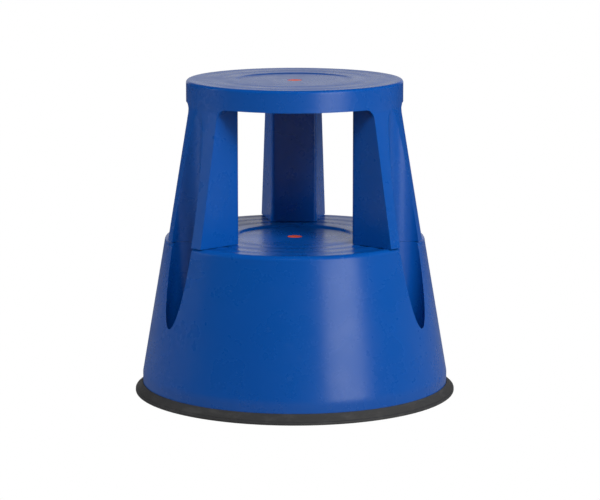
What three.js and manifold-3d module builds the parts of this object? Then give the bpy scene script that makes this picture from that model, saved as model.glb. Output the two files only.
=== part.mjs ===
// Kick step stool: two mouldings, a rubber base ring and three sprung swivel castors.
// Millimetres, +Z up, origin on the floor under the centre, standing on its wheels.
import * as THREE from "three";
import Module from "manifold-3d";

const wasm = await Module();
wasm.setup();

// Driving dimensions
const HEIGHT = 430;
const STEP_HEIGHT = 217.5;
const TOP_RADIUS = 146.5;
const SKIRT_BOTTOM = 400;
const CONE_TOP = 395;
const CONE_BOTTOM = 30;
const CONE_SLOPE = 0.172;
const DRUM_INSET = 1.2;
const WALL = 3.5;
const TREAD = 5;
const GAP = 0.3;
const LEG_AZIMUTHS = [90, 210, 330];
const CASTOR_AZIMUTHS = [30, 150, 270];
const TOP_GROOVES = [134, 114];
const STEP_GROOVES = [146, 126, 107];
const CENTRE_RADIUS = 78;
const TOP_RECESS = 1.6;
const STEP_RECESS = 3;
const BADGE_RADIUS = 10;
const BADGE_DEPTH = 1.6;

// Legs, their windows and the upright hand slot in each leg
const LEG_INNER = 104;
const LEG_HALF_WIDTH = 31.2;
const LEG_FLANK_SLOPE = 0.21;
const LEG_CORNER = 6;
const SLOT_CENTRE = 172;
const SLOT_HALF_WIDTH = 27;
const SLOT_INNER_REACH = 26;
const SLOT_OUTER_REACH = 23;
const SLOT_FLOOR = 92;
const WINDOW_CORNER = 14;

// Base ring
const DRUM_BOTTOM = 8.3;
const RING_BOTTOM = 3;
const RING_TOP = 16.5;
const RING_RADIUS = 218.5;

// Screws that hold the two mouldings together
const SCREW_RHO = 127;
const SCREW_TAU = 17;
const SCREW_RADIUS = 1.9;
const SCREW_LENGTH = 26;
const BOSS_RADIUS = 6;
const BOSS_HEIGHT = 36;

// Castors
const CASTOR_RHO = 158;
const CASTOR_TRAIL = 12;
const WHEEL_RADIUS = 19;
const WHEEL_HALF_WIDTH = 7;
const TYRE_THICKNESS = 3;
const AXLE_RADIUS = 3;
const FORK_TOP = 46;
const FORK_PLATE = 3;
const CHEEK_INNER = 7.6;
const CHEEK_OUTER = 10.1;
const STEM_RADIUS = 5;
const STEM_TOP = 84;
const RING_SEAT = 74.3;
const TOWER_RADIUS = 17;
const TOWER_BORE = 13;
const TOWER_BOTTOM = 58;
const TOWER_TOP = 132;
const SPRING_RADIUS = 8.5;
const SPRING_WIRE = 1.1;
const SPRING_TURNS = 7;

const material = (color, roughness, metalness = 0) =>
  new THREE.MeshStandardMaterial({ color, roughness, metalness });
const plastic = material(0x1c4a9e, 0.42);
const badge = material(0xd8492a, 0.4);
const rubber = material(0x3b3b3d, 0.75);
const steel = material(0xb4b7ba, 0.35, 1);
const nylon = material(0xd9d9d4, 0.5);
const tyreRubber = material(0x57595c, 0.65);

const rad = THREE.MathUtils.degToRad;

// Outer radius of the whole body at a height: upright skirt, cone, upright foot band
function bodyRadius(z) {
  const onCone = THREE.MathUtils.clamp(z, CONE_BOTTOM, CONE_TOP);
  return TOP_RADIUS + CONE_SLOPE * (CONE_TOP - onCone);
}

// Turns a three.js geometry into a manifold solid
function toSolid(source) {
  const geometry = source.clone();
  geometry.deleteAttribute("normal");
  geometry.deleteAttribute("uv");
  const loose = geometry.index ? geometry.toNonIndexed() : geometry;
  const points = loose.attributes.position;
  const indexOf = new Map();
  const vertices = [];
  const corners = [];
  for (let i = 0; i < points.count; i += 1) {
    const place = [points.getX(i), points.getY(i), points.getZ(i)];
    const key = place.map((value) => Math.round(value * 1e4)).join();
    if (!indexOf.has(key)) {
      indexOf.set(key, indexOf.size);
      vertices.push(...place);
    }
    corners.push(indexOf.get(key));
  }
  const triangles = [];
  for (let i = 0; i < corners.length; i += 3) {
    const [a, b, c] = corners.slice(i, i + 3);
    if (a !== b && b !== c && a !== c) triangles.push(a, b, c);
  }
  return new wasm.Manifold(new wasm.Mesh({
    numProp: 3,
    vertProperties: new Float32Array(vertices),
    triVerts: new Uint32Array(triangles),
  }));
}

function toGeometry(solid) {
  const mesh = solid.getMesh();
  const geometry = new THREE.BufferGeometry();
  geometry.setAttribute("position", new THREE.BufferAttribute(new Float32Array(mesh.vertProperties), 3));
  geometry.setIndex(new THREE.BufferAttribute(new Uint32Array(mesh.triVerts), 1));
  return geometry;
}

const join = (geometries) => geometries.map(toSolid).reduce((all, one) => all.add(one));
const turned = (geometry, azimuth) => geometry.clone().rotateZ(rad(azimuth));
const around = (azimuths, geometries) =>
  azimuths.flatMap((azimuth) => geometries.map((geometry) => turned(geometry, azimuth)));

// A body of revolution about +Z from a list of [radius, height] corners
function revolve(corners, segments = 48) {
  const profile = corners.map(([r, z]) => new THREE.Vector2(r, z));
  if (THREE.ShapeUtils.area(profile) < 0) profile.reverse();
  profile.push(profile[0].clone());
  return new THREE.LatheGeometry(profile, segments).rotateX(Math.PI / 2);
}

const disc = (radius, z0, z1, segments = 32) =>
  revolve([[0, z0], [radius, z0], [radius, z1], [0, z1]], segments);

// A plan outline carried straight up from z0 to z1
function upright(shape, z0, z1, curveSegments = 8) {
  const geometry = new THREE.ExtrudeGeometry(shape, { depth: z1 - z0, bevelEnabled: false, curveSegments });
  return geometry.translate(0, 0, z0);
}

function box(x0, x1, y0, y1, z0, z1) {
  const geometry = new THREE.BoxGeometry(x1 - x0, y1 - y0, z1 - z0);
  return geometry.translate((x0 + x1) / 2, (y0 + y1) / 2, (z0 + z1) / 2);
}

// Rounded edge from straight up a side to flat across its top
function roundedEdge(radius, z, r, steps) {
  return Array.from({ length: steps + 1 }, (_, i) => {
    const angle = (i / steps) * (Math.PI / 2);
    return [radius - r + r * Math.cos(angle), z - r + r * Math.sin(angle)];
  });
}

// Shallow ring grooves across a tread, from the outside in
function treadGrooves(z, radii) {
  const half = 1.4;
  return radii.flatMap((r) => [[r + half, z], [r, z - 0.8], [r - half, z]]);
}

// Body of revolution under the shared outer form, with a thickness taken off its side
function bodyForm(z0, z1, inset = 0, top = []) {
  const levels = [z0, CONE_BOTTOM, CONE_TOP, z1].filter((z) => z >= z0 && z <= z1);
  const side = levels.map((z) => [bodyRadius(z) - inset, z]);
  if (top.length) side.pop();
  return revolve([[0, z0], ...side, ...top, [0, z1]]);
}

// Plan of a leg: flat inner web, rounded corners, flanks that open outwards
function legPlan(inset) {
  const inner = LEG_INNER + inset;
  const corner = LEG_CORNER - inset;
  const outer = bodyRadius(STEP_HEIGHT) + 10;
  const squash = inset * Math.hypot(1, LEG_FLANK_SLOPE);
  const half = (rho) => LEG_HALF_WIDTH + LEG_FLANK_SLOPE * (rho - LEG_INNER) - squash;
  const shape = new THREE.Shape();
  shape.moveTo(inner, corner - half(inner));
  shape.quadraticCurveTo(inner, -half(inner), inner + corner, -half(inner + corner));
  shape.lineTo(outer, -half(outer));
  shape.lineTo(outer, half(outer));
  shape.lineTo(inner + corner, half(inner + corner));
  shape.quadraticCurveTo(inner, half(inner), inner, half(inner) - corner);
  shape.closePath();
  return shape;
}

// Plan of a hand slot: half an ellipse inwards, its point just inside the skirt's radius, and a
// shallower half outwards
function slotPlan(outset) {
  const half = SLOT_HALF_WIDTH + outset;
  const quarter = Math.PI / 2;
  const shape = new THREE.Shape();
  shape.absellipse(SLOT_CENTRE, 0, SLOT_OUTER_REACH + outset, half, -quarter, quarter, false);
  shape.absellipse(SLOT_CENTRE, 0, SLOT_INNER_REACH + outset, half, quarter, 3 * quarter, false);
  return shape;
}

// Space above a tread's sunk centre and, in the middle of that, the well for its round inlay
function treadRecess(z, depth) {
  const floor = z - depth;
  const well = BADGE_RADIUS + GAP;
  return toSolid(revolve([
    [0, floor - BADGE_DEPTH - GAP],
    [well, floor - BADGE_DEPTH - GAP],
    [well, floor],
    [CENTRE_RADIUS - 0.8, floor],
    [CENTRE_RADIUS + 0.8, z],
    [CENTRE_RADIUS + 0.8, z + 1],
    [0, z + 1],
  ]));
}

// Fillet between a leg flank and the top edge of the window beside it; side is +1 or -1
function windowCorner(side) {
  const reach = 80;
  const middle = 145;
  const shape = new THREE.Shape();
  shape.moveTo(-1, 1);
  shape.lineTo(-1, -WINDOW_CORNER);
  shape.lineTo(0, -WINDOW_CORNER);
  shape.absarc(WINDOW_CORNER, -WINDOW_CORNER, WINDOW_CORNER, Math.PI, Math.PI / 2, true);
  shape.lineTo(WINDOW_CORNER, 1);
  shape.closePath();
  const away = new THREE.Vector3(-LEG_FLANK_SLOPE, side, 0).normalize();
  const up = new THREE.Vector3(0, 0, 1);
  const basis = new THREE.Matrix4().makeBasis(away, up, new THREE.Vector3().crossVectors(away, up));
  const flank = LEG_HALF_WIDTH + LEG_FLANK_SLOPE * (middle - LEG_INNER);
  return new THREE.ExtrudeGeometry(shape, { depth: reach, bevelEnabled: false, curveSegments: 5 })
    .translate(0, 0, -reach / 2)
    .applyMatrix4(basis)
    .translate(middle, side * flank, SKIRT_BOTTOM);
}

// Top step, skirt and three hollow legs in one moulding, open underneath
function upperBody() {
  const foot = STEP_HEIGHT + GAP;
  const ceiling = HEIGHT - TREAD;
  const top = [...roundedEdge(TOP_RADIUS, HEIGHT, 4, 4), ...treadGrooves(HEIGHT, TOP_GROOVES)];
  const cap = bodyForm(SKIRT_BOTTOM, HEIGHT, 0, top);
  const legs = join(around(LEG_AZIMUTHS, [upright(legPlan(0), foot, ceiling)]));
  const skirt = toSolid(bodyForm(SKIRT_BOTTOM - 20, SKIRT_BOTTOM + 1))
    .subtract(toSolid(disc(TOP_RADIUS - WALL, SKIRT_BOTTOM - 21, SKIRT_BOTTOM + 2, 48)));
  const corners = join(around(LEG_AZIMUTHS, [windowCorner(1), windowCorner(-1)])).intersect(skirt);
  const underTop = toSolid(disc(TOP_RADIUS - WALL, SKIRT_BOTTOM - 1, ceiling, 48)).subtract(legs);
  const slots = join(around(LEG_AZIMUTHS, [upright(slotPlan(0), foot - 1, CONE_TOP)]));
  const slotShells = join(around(LEG_AZIMUTHS, [upright(slotPlan(WALL), foot - 1, CONE_TOP + WALL)]));
  const legHollows = join(around(LEG_AZIMUTHS, [upright(legPlan(WALL), foot - 1, ceiling)]))
    .intersect(toSolid(bodyForm(foot - 1, ceiling, WALL)))
    .subtract(slotShells);
  const ribs = join([
    ...around([0, 60, 120, 180, 240, 300], [box(60, TOP_RADIUS - 2, -1.5, 1.5, ceiling - 14, ceiling + 1)]),
  ]).add(toSolid(revolve([[58, ceiling - 14], [61, ceiling - 14], [61, ceiling + 1], [58, ceiling + 1]])));
  const bossTop = foot + BOSS_HEIGHT;
  const bosses = join(around(LEG_AZIMUTHS, [-SCREW_TAU, SCREW_TAU].flatMap((tau) => [
    disc(BOSS_RADIUS, foot, bossTop, 16).translate(SCREW_RHO, tau, 0),
    box(LEG_INNER + 1, SLOT_CENTRE - SLOT_INNER_REACH + 4, tau - 1.5, tau + 1.5, foot, bossTop),
  ])));
  const screwHoles = join(around(LEG_AZIMUTHS, [-SCREW_TAU, SCREW_TAU].map((tau) =>
    disc(SCREW_RADIUS + 0.4, foot - 1, foot + SCREW_LENGTH, 16).translate(SCREW_RHO, tau, 0))));
  const outside = toSolid(bodyForm(foot - 2, HEIGHT - 1));
  return toSolid(cap)
    .add(legs.intersect(outside))
    .add(corners)
    .subtract(underTop)
    .subtract(legHollows)
    .add(ribs)
    .add(bosses)
    .subtract(slots)
    .subtract(screwHoles)
    .subtract(treadRecess(HEIGHT, TOP_RECESS));
}

// Lower step, cone wall, hand slot pockets, ribs and castor towers in one moulding, open underneath
function lowerDrum() {
  const underDeck = STEP_HEIGHT - TREAD;
  const rimRadius = bodyRadius(STEP_HEIGHT - 7) - DRUM_INSET;
  const top = [...roundedEdge(rimRadius, STEP_HEIGHT, 7, 5), ...treadGrooves(STEP_HEIGHT, STEP_GROOVES)];
  const outer = toSolid(bodyForm(DRUM_BOTTOM, STEP_HEIGHT, DRUM_INSET, top));
  const inner = toSolid(bodyForm(DRUM_BOTTOM - 1, underDeck, DRUM_INSET + WALL))
    .subtract(toSolid(disc(CENTRE_RADIUS + 3, underDeck - STEP_RECESS, underDeck + 1, 48)));
  const tower = disc(TOWER_RADIUS, TOWER_BOTTOM, TOWER_TOP + TREAD).translate(CASTOR_RHO, 0, 0);
  const bore = disc(TOWER_BORE, TOWER_BOTTOM - 1, TOWER_TOP).translate(CASTOR_RHO, 0, 0);
  const half = WALL / 2;
  const inside = join([
    ...around(LEG_AZIMUTHS, [
      upright(slotPlan(WALL), SLOT_FLOOR - WALL, STEP_HEIGHT - 1),
      box(60, SLOT_CENTRE - SLOT_INNER_REACH, -half, half, 150, underDeck + 1),
    ]),
    ...around(CASTOR_AZIMUTHS, [
      tower,
      box(60, 215, -half, half, TOWER_BOTTOM + 8, underDeck + 1),
      box(CASTOR_RHO - half, CASTOR_RHO + half, -58, 58, TOWER_BOTTOM + 32, underDeck + 1),
    ]),
  ]).add(toSolid(revolve([[58, 160], [61.5, 160], [61.5, underDeck + 1], [58, underDeck + 1]])));
  const slots = join(around(LEG_AZIMUTHS, [upright(slotPlan(0), SLOT_FLOOR, STEP_HEIGHT + 1)]));
  const bores = join(around(CASTOR_AZIMUTHS, [bore]));
  const screwHoles = join(around(LEG_AZIMUTHS, [-SCREW_TAU, SCREW_TAU].map((tau) =>
    disc(SCREW_RADIUS + 0.4, underDeck - 1, STEP_HEIGHT + 1, 16).translate(SCREW_RHO, tau, 0))));
  return outer
    .subtract(inner)
    .add(inside.intersect(outer))
    .subtract(slots)
    .subtract(bores)
    .subtract(screwHoles)
    .subtract(treadRecess(STEP_HEIGHT, STEP_RECESS));
}

// Rubber ring: a channel that takes the drum's foot edge, with a flared bumper outside it
function baseRing() {
  const outerWall = bodyRadius(0) - DRUM_INSET;
  const innerWall = outerWall - WALL;
  const channel = DRUM_BOTTOM - GAP;
  return revolve([
    [innerWall - 3.3, RING_BOTTOM],
    [RING_RADIUS, RING_BOTTOM],
    [RING_RADIUS, RING_BOTTOM + 3],
    [RING_RADIUS - 1.5, RING_BOTTOM + 5],
    [outerWall + 4, RING_TOP - 4.5],
    [outerWall + 1.4, RING_TOP],
    [outerWall + GAP, RING_TOP],
    [outerWall + GAP, channel],
    [innerWall - GAP, channel],
    [innerWall - GAP, RING_TOP - 2],
    [innerWall - 3.3, RING_TOP - 2],
  ]);
}

// Slightly domed round inlay
function badgeInlay(z) {
  const r = BADGE_RADIUS;
  const back = z - BADGE_DEPTH;
  return revolve([[0, back], [r, back], [r, z - 0.8], [r - 0.6, z - 0.3], [0, z - 0.1]], 32);
}

// Pan-head screw with its head under the deck
function legScrew() {
  const underDeck = STEP_HEIGHT - TREAD;
  const head = underDeck - GAP;
  const tip = head + SCREW_LENGTH;
  return revolve([
    [0, head - 3],
    [2.6, head - 3],
    [4, head - 1.6],
    [4, head],
    [SCREW_RADIUS, head],
    [SCREW_RADIUS, tip - 2],
    [0, tip],
  ], 12);
}

// Flanged bush pressed into the foot of a castor tower
function castorBush() {
  const bore = STEM_RADIUS + GAP;
  const sleeve = TOWER_BORE - GAP;
  const flange = TOWER_BOTTOM - GAP;
  return revolve([
    [bore, flange - 4],
    [TOWER_RADIUS, flange - 4],
    [TOWER_RADIUS, flange],
    [sleeve, flange],
    [sleeve, RING_SEAT],
    [bore, RING_SEAT],
  ], 24);
}

// Stem riveted through the fork plate, with a collar above it and a groove for the retaining ring
function castorStem() {
  const plateBottom = FORK_TOP - FORK_PLATE;
  const r = STEM_RADIUS;
  return revolve([
    [0, plateBottom - GAP - 2],
    [6, plateBottom - GAP - 2],
    [7, plateBottom - GAP],
    [r, plateBottom - GAP],
    [r, FORK_TOP + GAP],
    [9, FORK_TOP + GAP],
    [9, FORK_TOP + 2.3],
    [r, FORK_TOP + 2.3],
    [r, RING_SEAT],
    [r - 0.8, RING_SEAT],
    [r - 0.8, RING_SEAT + 2.4],
    [r, RING_SEAT + 2.4],
    [r, STEM_TOP - 1],
    [r - 1, STEM_TOP],
    [0, STEM_TOP],
  ], 16);
}

function retainingRing() {
  const inner = STEM_RADIUS - 0.5;
  const low = RING_SEAT + GAP;
  const high = RING_SEAT + 2.1;
  return revolve([[inner, low], [10.5, low], [10.5, high], [inner, high]], 24);
}

// Compression spring between the retaining ring and the top of the tower's bore
function castorSpring() {
  const low = RING_SEAT + 2.4 + SPRING_WIRE;
  const high = TOWER_TOP - GAP - SPRING_WIRE;
  class Helix extends THREE.Curve {
    getPoint(t, target = new THREE.Vector3()) {
      const angle = 2 * Math.PI * SPRING_TURNS * t;
      const x = SPRING_RADIUS * Math.cos(angle);
      const y = SPRING_RADIUS * Math.sin(angle);
      return target.set(x, y, THREE.MathUtils.lerp(low, high, t));
    }
  }
  const section = new THREE.EllipseCurve(0, 0, SPRING_WIRE, SPRING_WIRE);
  const wire = new THREE.Shape(section.getPoints(5).slice(0, 5));
  return new THREE.ExtrudeGeometry(wire, { steps: SPRING_TURNS * 9, extrudePath: new Helix() });
}

// Pressed steel fork: top plate and two cheeks that carry the axle
function castorFork() {
  const plateBottom = FORK_TOP - FORK_PLATE;
  const cheek = new THREE.Shape();
  cheek.moveTo(12, FORK_TOP);
  cheek.lineTo(12, FORK_TOP - 6);
  cheek.lineTo(7 - CASTOR_TRAIL, WHEEL_RADIUS);
  cheek.absarc(-CASTOR_TRAIL, WHEEL_RADIUS, 7, 0, -Math.PI, true);
  cheek.lineTo(-7 - CASTOR_TRAIL, FORK_TOP - 10);
  cheek.lineTo(-12, FORK_TOP);
  cheek.closePath();
  const side = new THREE.ExtrudeGeometry(cheek, {
    depth: CHEEK_OUTER - CHEEK_INNER,
    bevelEnabled: false,
    curveSegments: 8,
  }).rotateX(Math.PI / 2);
  const axleHole = axial(disc(AXLE_RADIUS + GAP, -20, 20, 16));
  const stemHole = disc(STEM_RADIUS + GAP, plateBottom - 1, FORK_TOP + 1, 24);
  return join([
    box(-12, 12, -CHEEK_OUTER, CHEEK_OUTER, plateBottom, FORK_TOP),
    side.clone().translate(0, CHEEK_OUTER, 0),
    side.clone().translate(0, -CHEEK_INNER, 0),
  ]).subtract(toSolid(axleHole)).subtract(toSolid(stemHole));
}

// Lays a body of revolution along the axle
function axial(geometry) {
  return geometry.clone().rotateX(Math.PI / 2).translate(-CASTOR_TRAIL, 0, WHEEL_RADIUS);
}

function castorAxle() {
  const shoulder = CHEEK_OUTER + GAP;
  const end = shoulder + 1.8;
  const half = [[AXLE_RADIUS, shoulder], [4.4, shoulder], [4.4, end - 0.8], [3.4, end], [0, end]];
  const mirrored = half.map(([r, z]) => [r, -z]).reverse();
  return axial(revolve([...mirrored, ...half], 12));
}

function castorWheel() {
  const rim = WHEEL_RADIUS - TYRE_THICKNESS - GAP;
  const bore = AXLE_RADIUS + GAP;
  const hub = WHEEL_HALF_WIDTH;
  const side = [[rim, 5.5], [rim - 2.5, 5.5], [rim - 3.5, 2.5], [8, 2.5], [7, hub], [bore, hub]];
  const mirrored = side.map(([r, z]) => [r, -z]).reverse();
  return axial(revolve([...mirrored, ...side], 16));
}

function castorTyre() {
  const inner = WHEEL_RADIUS - TYRE_THICKNESS;
  const corners = [[inner, 5.8], [WHEEL_RADIUS - 1.4, 5.8], [WHEEL_RADIUS, 4], [WHEEL_RADIUS, -4],
    [WHEEL_RADIUS - 1.4, -5.8], [inner, -5.8]];
  return axial(revolve(corners, 24));
}

const stool = new THREE.Group();

function addPiece(name, shape, look, parent = stool) {
  const geometry = shape.isBufferGeometry ? shape : toGeometry(shape);
  geometry.computeVertexNormals();
  const mesh = new THREE.Mesh(geometry, look);
  mesh.name = name;
  parent.add(mesh);
  return mesh;
}

addPiece("upper_body", upperBody(), plastic);
addPiece("lower_drum", lowerDrum(), plastic);
addPiece("base_ring", baseRing(), rubber);
addPiece("top_badge", badgeInlay(HEIGHT - TOP_RECESS), badge);
addPiece("step_badge", badgeInlay(STEP_HEIGHT - STEP_RECESS), badge);

LEG_AZIMUTHS.forEach((azimuth, leg) => {
  [-SCREW_TAU, SCREW_TAU].forEach((tau, side) => {
    const screw = addPiece(`leg_screw_${2 * leg + side + 1}`, legScrew(), steel);
    screw.position.set(SCREW_RHO, tau, 0).applyAxisAngle(new THREE.Vector3(0, 0, 1), rad(azimuth));
  });
});

CASTOR_AZIMUTHS.forEach((azimuth, i) => {
  const castor = new THREE.Group();
  const name = (piece) => `castor_${i + 1}_${piece}`;
  castor.position.set(CASTOR_RHO * Math.cos(rad(azimuth)), CASTOR_RHO * Math.sin(rad(azimuth)), 0);
  castor.rotation.z = rad(azimuth + 90);
  stool.add(castor);
  addPiece(name("bush"), castorBush(), nylon, castor);
  addPiece(name("stem"), castorStem(), steel, castor);
  addPiece(name("retaining_ring"), retainingRing(), steel, castor);
  addPiece(name("spring"), castorSpring(), steel, castor);
  addPiece(name("fork"), castorFork(), steel, castor);
  addPiece(name("axle"), castorAxle(), steel, castor);
  addPiece(name("wheel"), castorWheel(), nylon, castor);
  addPiece(name("tyre"), castorTyre(), tyreRubber, castor);
});

export default stool;
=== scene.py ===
"""Kick step stool: blue two-piece body, rubber base ring and three sprung swivel castors.

Metres, +Z up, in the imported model's own frame. Every piece is a surface worked out on a grid.
"""
import math

import bmesh
import bpy
import numpy as np
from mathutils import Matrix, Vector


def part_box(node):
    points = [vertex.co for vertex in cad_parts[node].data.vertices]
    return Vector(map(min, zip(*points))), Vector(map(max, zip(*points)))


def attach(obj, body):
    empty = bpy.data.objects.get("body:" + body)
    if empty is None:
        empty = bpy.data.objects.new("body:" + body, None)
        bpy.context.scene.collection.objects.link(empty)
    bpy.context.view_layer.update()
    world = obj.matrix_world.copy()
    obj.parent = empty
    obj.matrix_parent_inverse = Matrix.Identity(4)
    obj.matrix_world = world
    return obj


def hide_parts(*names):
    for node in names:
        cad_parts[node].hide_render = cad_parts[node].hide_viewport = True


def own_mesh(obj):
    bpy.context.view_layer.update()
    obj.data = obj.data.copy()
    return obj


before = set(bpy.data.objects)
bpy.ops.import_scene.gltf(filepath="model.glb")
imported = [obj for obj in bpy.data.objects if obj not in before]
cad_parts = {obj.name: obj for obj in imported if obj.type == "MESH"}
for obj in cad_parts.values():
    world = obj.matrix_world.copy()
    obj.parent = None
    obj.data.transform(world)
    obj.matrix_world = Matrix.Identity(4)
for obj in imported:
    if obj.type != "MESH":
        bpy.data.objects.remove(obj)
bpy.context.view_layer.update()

# ---------------------------------------------------------------------------
# Sizes
# ---------------------------------------------------------------------------
MM = 0.001
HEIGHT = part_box("upper_body")[1].z
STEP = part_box("lower_drum")[1].z
LEG_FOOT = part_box("upper_body")[0].z
DRUM_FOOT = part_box("lower_drum")[0].z
RING_LOW, RING_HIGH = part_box("base_ring")[0].z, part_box("base_ring")[1].z
RING_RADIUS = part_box("base_ring")[1].x

TOP_RADIUS = 146.5 * MM
SKIRT_BOTTOM = 400.8 * MM
CONE_TOP = 395 * MM
CONE_BOTTOM = 30 * MM
CONE_SLOPE = 0.172
DRUM_INSET = 1.2 * MM
WALL = 3.5 * MM
TREAD = 5 * MM
GAP = 0.3 * MM
TOP_RIM = 4 * MM
STEP_RIM = 7 * MM

LEG_AZIMUTHS = (90, 210, 330)
LEG_INNER = 104 * MM
LEG_HALF_WIDTH = 31.2 * MM
FLANK_SLOPE = 0.21
LEG_CORNER = 6 * MM
SLOT_CENTRE = 172 * MM
SLOT_HALF_WIDTH = 27 * MM
SLOT_OUTER_REACH = 23 * MM
SLOT_FLOOR = 92 * MM
WINDOW_CORNER = 14 * MM
HOLLOW_TOP = 384 * MM

CENTRE_RADIUS = 78 * MM
TOP_RECESS = 1.6 * MM
STEP_RECESS = 3 * MM
BADGE_RADIUS = 10 * MM
BADGE_DEPTH = 1.9 * MM

SCREW_RHO, SCREW_TAU = 127 * MM, 17 * MM

CASTOR_AZIMUTHS = (30, 150, 270)
CASTOR_RHO = 158 * MM
TRAIL = 12 * MM
TOWER_RADIUS = 17 * MM
TOWER_BORE = 13 * MM
TOWER_BOTTOM = 58 * MM
TOWER_TOP = 132 * MM
RIB_START = 60 * MM

# Columns of the body's grids over half a sector, from a leg's middle to a window's middle
SLOT_COLUMNS = 26
STRIP_COLUMNS = 12
WINDOW_COLUMNS = 34
LEDGE_COLUMNS = 2
POCKET_COLUMNS = 30

FLANK_RUN = math.hypot(1, FLANK_SLOPE)
HALF_SECTOR = math.pi / 3


# ---------------------------------------------------------------------------
# Meshes from grids
# ---------------------------------------------------------------------------
def grid_quads(rows, cols, start):
    """Corner numbers of every cell of a rows by cols grid whose first point is number start."""
    i = np.arange(rows * cols).reshape(rows, cols) + start
    return np.stack([i[:-1, :-1], i[:-1, 1:], i[1:, 1:], i[1:, :-1]], -1).reshape(-1, 4)


def make_piece(name, grids, material, weld=4e-6, sharp=38, bevel=0.0, segments=2):
    """One closed mesh from several grids of points.

    Equal points are merged and the faces turned outwards.
    """
    points = np.concatenate([g.reshape(-1, 3) for g in grids])
    starts = np.cumsum([0] + [g.shape[0] * g.shape[1] for g in grids[:-1]])
    quads = np.concatenate([grid_quads(g.shape[0], g.shape[1], s) for g, s in zip(grids, starts)])
    mesh = bpy.data.meshes.new(name)
    mesh.from_pydata(points, [], quads.tolist())
    bm = bmesh.new()
    bm.from_mesh(mesh)
    bmesh.ops.remove_doubles(bm, verts=bm.verts, dist=weld)
    bmesh.ops.recalc_face_normals(bm, faces=bm.faces)
    bm.to_mesh(mesh)
    bm.free()
    mesh.shade_smooth()
    mesh.set_sharp_from_angle(angle=math.radians(sharp))
    mesh.materials.append(material)
    piece = bpy.data.objects.new(name, mesh)
    bpy.context.scene.collection.objects.link(piece)
    if bevel:
        rounding = piece.modifiers.new("edges", "BEVEL")
        rounding.width = bevel
        rounding.segments = segments
        rounding.limit_method = "ANGLE"
        rounding.angle_limit = math.radians(sharp)
        rounding.use_clamp_overlap = True
        rounding.harden_normals = False
    return piece


def lathe(profile, segments=96, closed=False, wave=None):
    """Grid of a profile of (radius, height) turned about +Z; wave scales each radius by angle."""
    profile = np.array(profile + [profile[0]] if closed else profile, float)
    angle = np.linspace(0, 2 * np.pi, segments + 1)
    radius = profile[:, :1] * np.ones_like(angle)
    if wave is not None:
        radius = radius * wave(profile[:, :1], angle[None, :])
    height = profile[:, 1:] * np.ones_like(angle)
    return np.stack([radius * np.cos(angle), radius * np.sin(angle), height], -1)


def arc(centre, radius, start, end, steps=6):
    """Points of a circle's arc in a profile plane, angles in degrees."""
    a = np.radians(np.linspace(start, end, steps + 1))
    return [(centre[0] + radius * math.cos(t), centre[1] + radius * math.sin(t)) for t in a]


def placed(grid, azimuth=0.0, offset=(0, 0, 0)):
    """The grid turned about +Z by an azimuth in degrees after being shifted."""
    a = math.radians(azimuth)
    turn = np.array([[math.cos(a), -math.sin(a), 0], [math.sin(a), math.cos(a), 0], [0, 0, 1]])
    return (grid + np.array(offset)) @ turn.T


def six_fold(grids):
    """Every half-sector grid, its mirror image across the leg's middle, at each of the three legs."""
    both = grids + [g * np.array([1, -1, 1]) for g in grids]
    return [placed(g, azimuth) for azimuth in LEG_AZIMUTHS for g in both]


def rectangle(x0, x1, y0, y1):
    """Corners of a rectangle, in order round it."""
    return [(x0, y0), (x1, y0), (x1, y1), (x0, y1)]


def slab(plan, low, high):
    """Closed upright slab over a four-cornered plan, between one low and one high height."""
    plan = np.array(plan, float)
    ring = np.concatenate([plan, plan[:1]])
    wall = np.stack([np.column_stack([ring, np.full(5, z)]) for z in (low, high)])
    cap = [wall[k][[0, 1, 3, 2]].reshape(2, 2, 3) for k in (0, 1)]
    return [wall] + cap


# ---------------------------------------------------------------------------
# The body's shared lines
# ---------------------------------------------------------------------------
def body_radius(z):
    """Outer radius at a height: upright foot band, straight cone, upright skirt."""
    return TOP_RADIUS + CONE_SLOPE * (CONE_TOP - np.clip(z, CONE_BOTTOM, CONE_TOP))


def line_lengths(line):
    """Distance along a polyline from its start to each of its points."""
    return np.concatenate([[0], np.cumsum(np.hypot(*np.diff(line, axis=0).T))])


def polyline_at(line, s):
    """Points of a polyline at distances s along it."""
    lengths = line_lengths(line)
    return np.stack([np.interp(s, lengths, line[:, k]) for k in range(2)], -1)


def slot_line(outset):
    """Half of the hand slot's plan, from its point on the skirt's radius round to its outermost point.

    A quarter of one ellipse out to the widest place, then a quarter of a shallower one.
    """
    inner, outer = SLOT_CENTRE - TOP_RADIUS + outset, SLOT_OUTER_REACH + outset
    half = SLOT_HALF_WIDTH + outset
    a = np.linspace(0, math.pi / 2, 2000)
    first = np.stack([SLOT_CENTRE - inner * np.cos(a), half * np.sin(a)], -1)
    second = np.stack([SLOT_CENTRE + outer * np.sin(a), half * np.cos(a)], -1)
    return np.concatenate([first, second[1:]])


def leg_line(inset):
    """Half of a leg's plan: from the inner web's middle, round its corner and out along the flank."""
    inner = LEG_INNER + inset
    corner = LEG_CORNER - inset
    lean = math.atan(FLANK_SLOPE)
    flank_at = lambda rho: LEG_HALF_WIDTH + FLANK_SLOPE * (rho - LEG_INNER) - inset * FLANK_RUN
    # centre of the corner: one corner radius inside both the web and the flank
    rho = inner + corner
    tau = flank_at(rho) - corner * FLANK_RUN
    a = np.linspace(math.pi, math.pi / 2 + lean, 200)
    turn = np.stack([rho + corner * np.cos(a), tau + corner * np.sin(a)], -1)
    web = np.linspace((inner, 0.0), turn[0], 400)
    outer = 0.25
    flank = np.linspace(turn[-1], (outer, flank_at(outer)), 4000)
    line = np.concatenate([web, turn[1:], flank[1:]])
    return line, line_lengths(web)[-1], line_lengths(np.concatenate([web, turn[1:]]))[-1]


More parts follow.
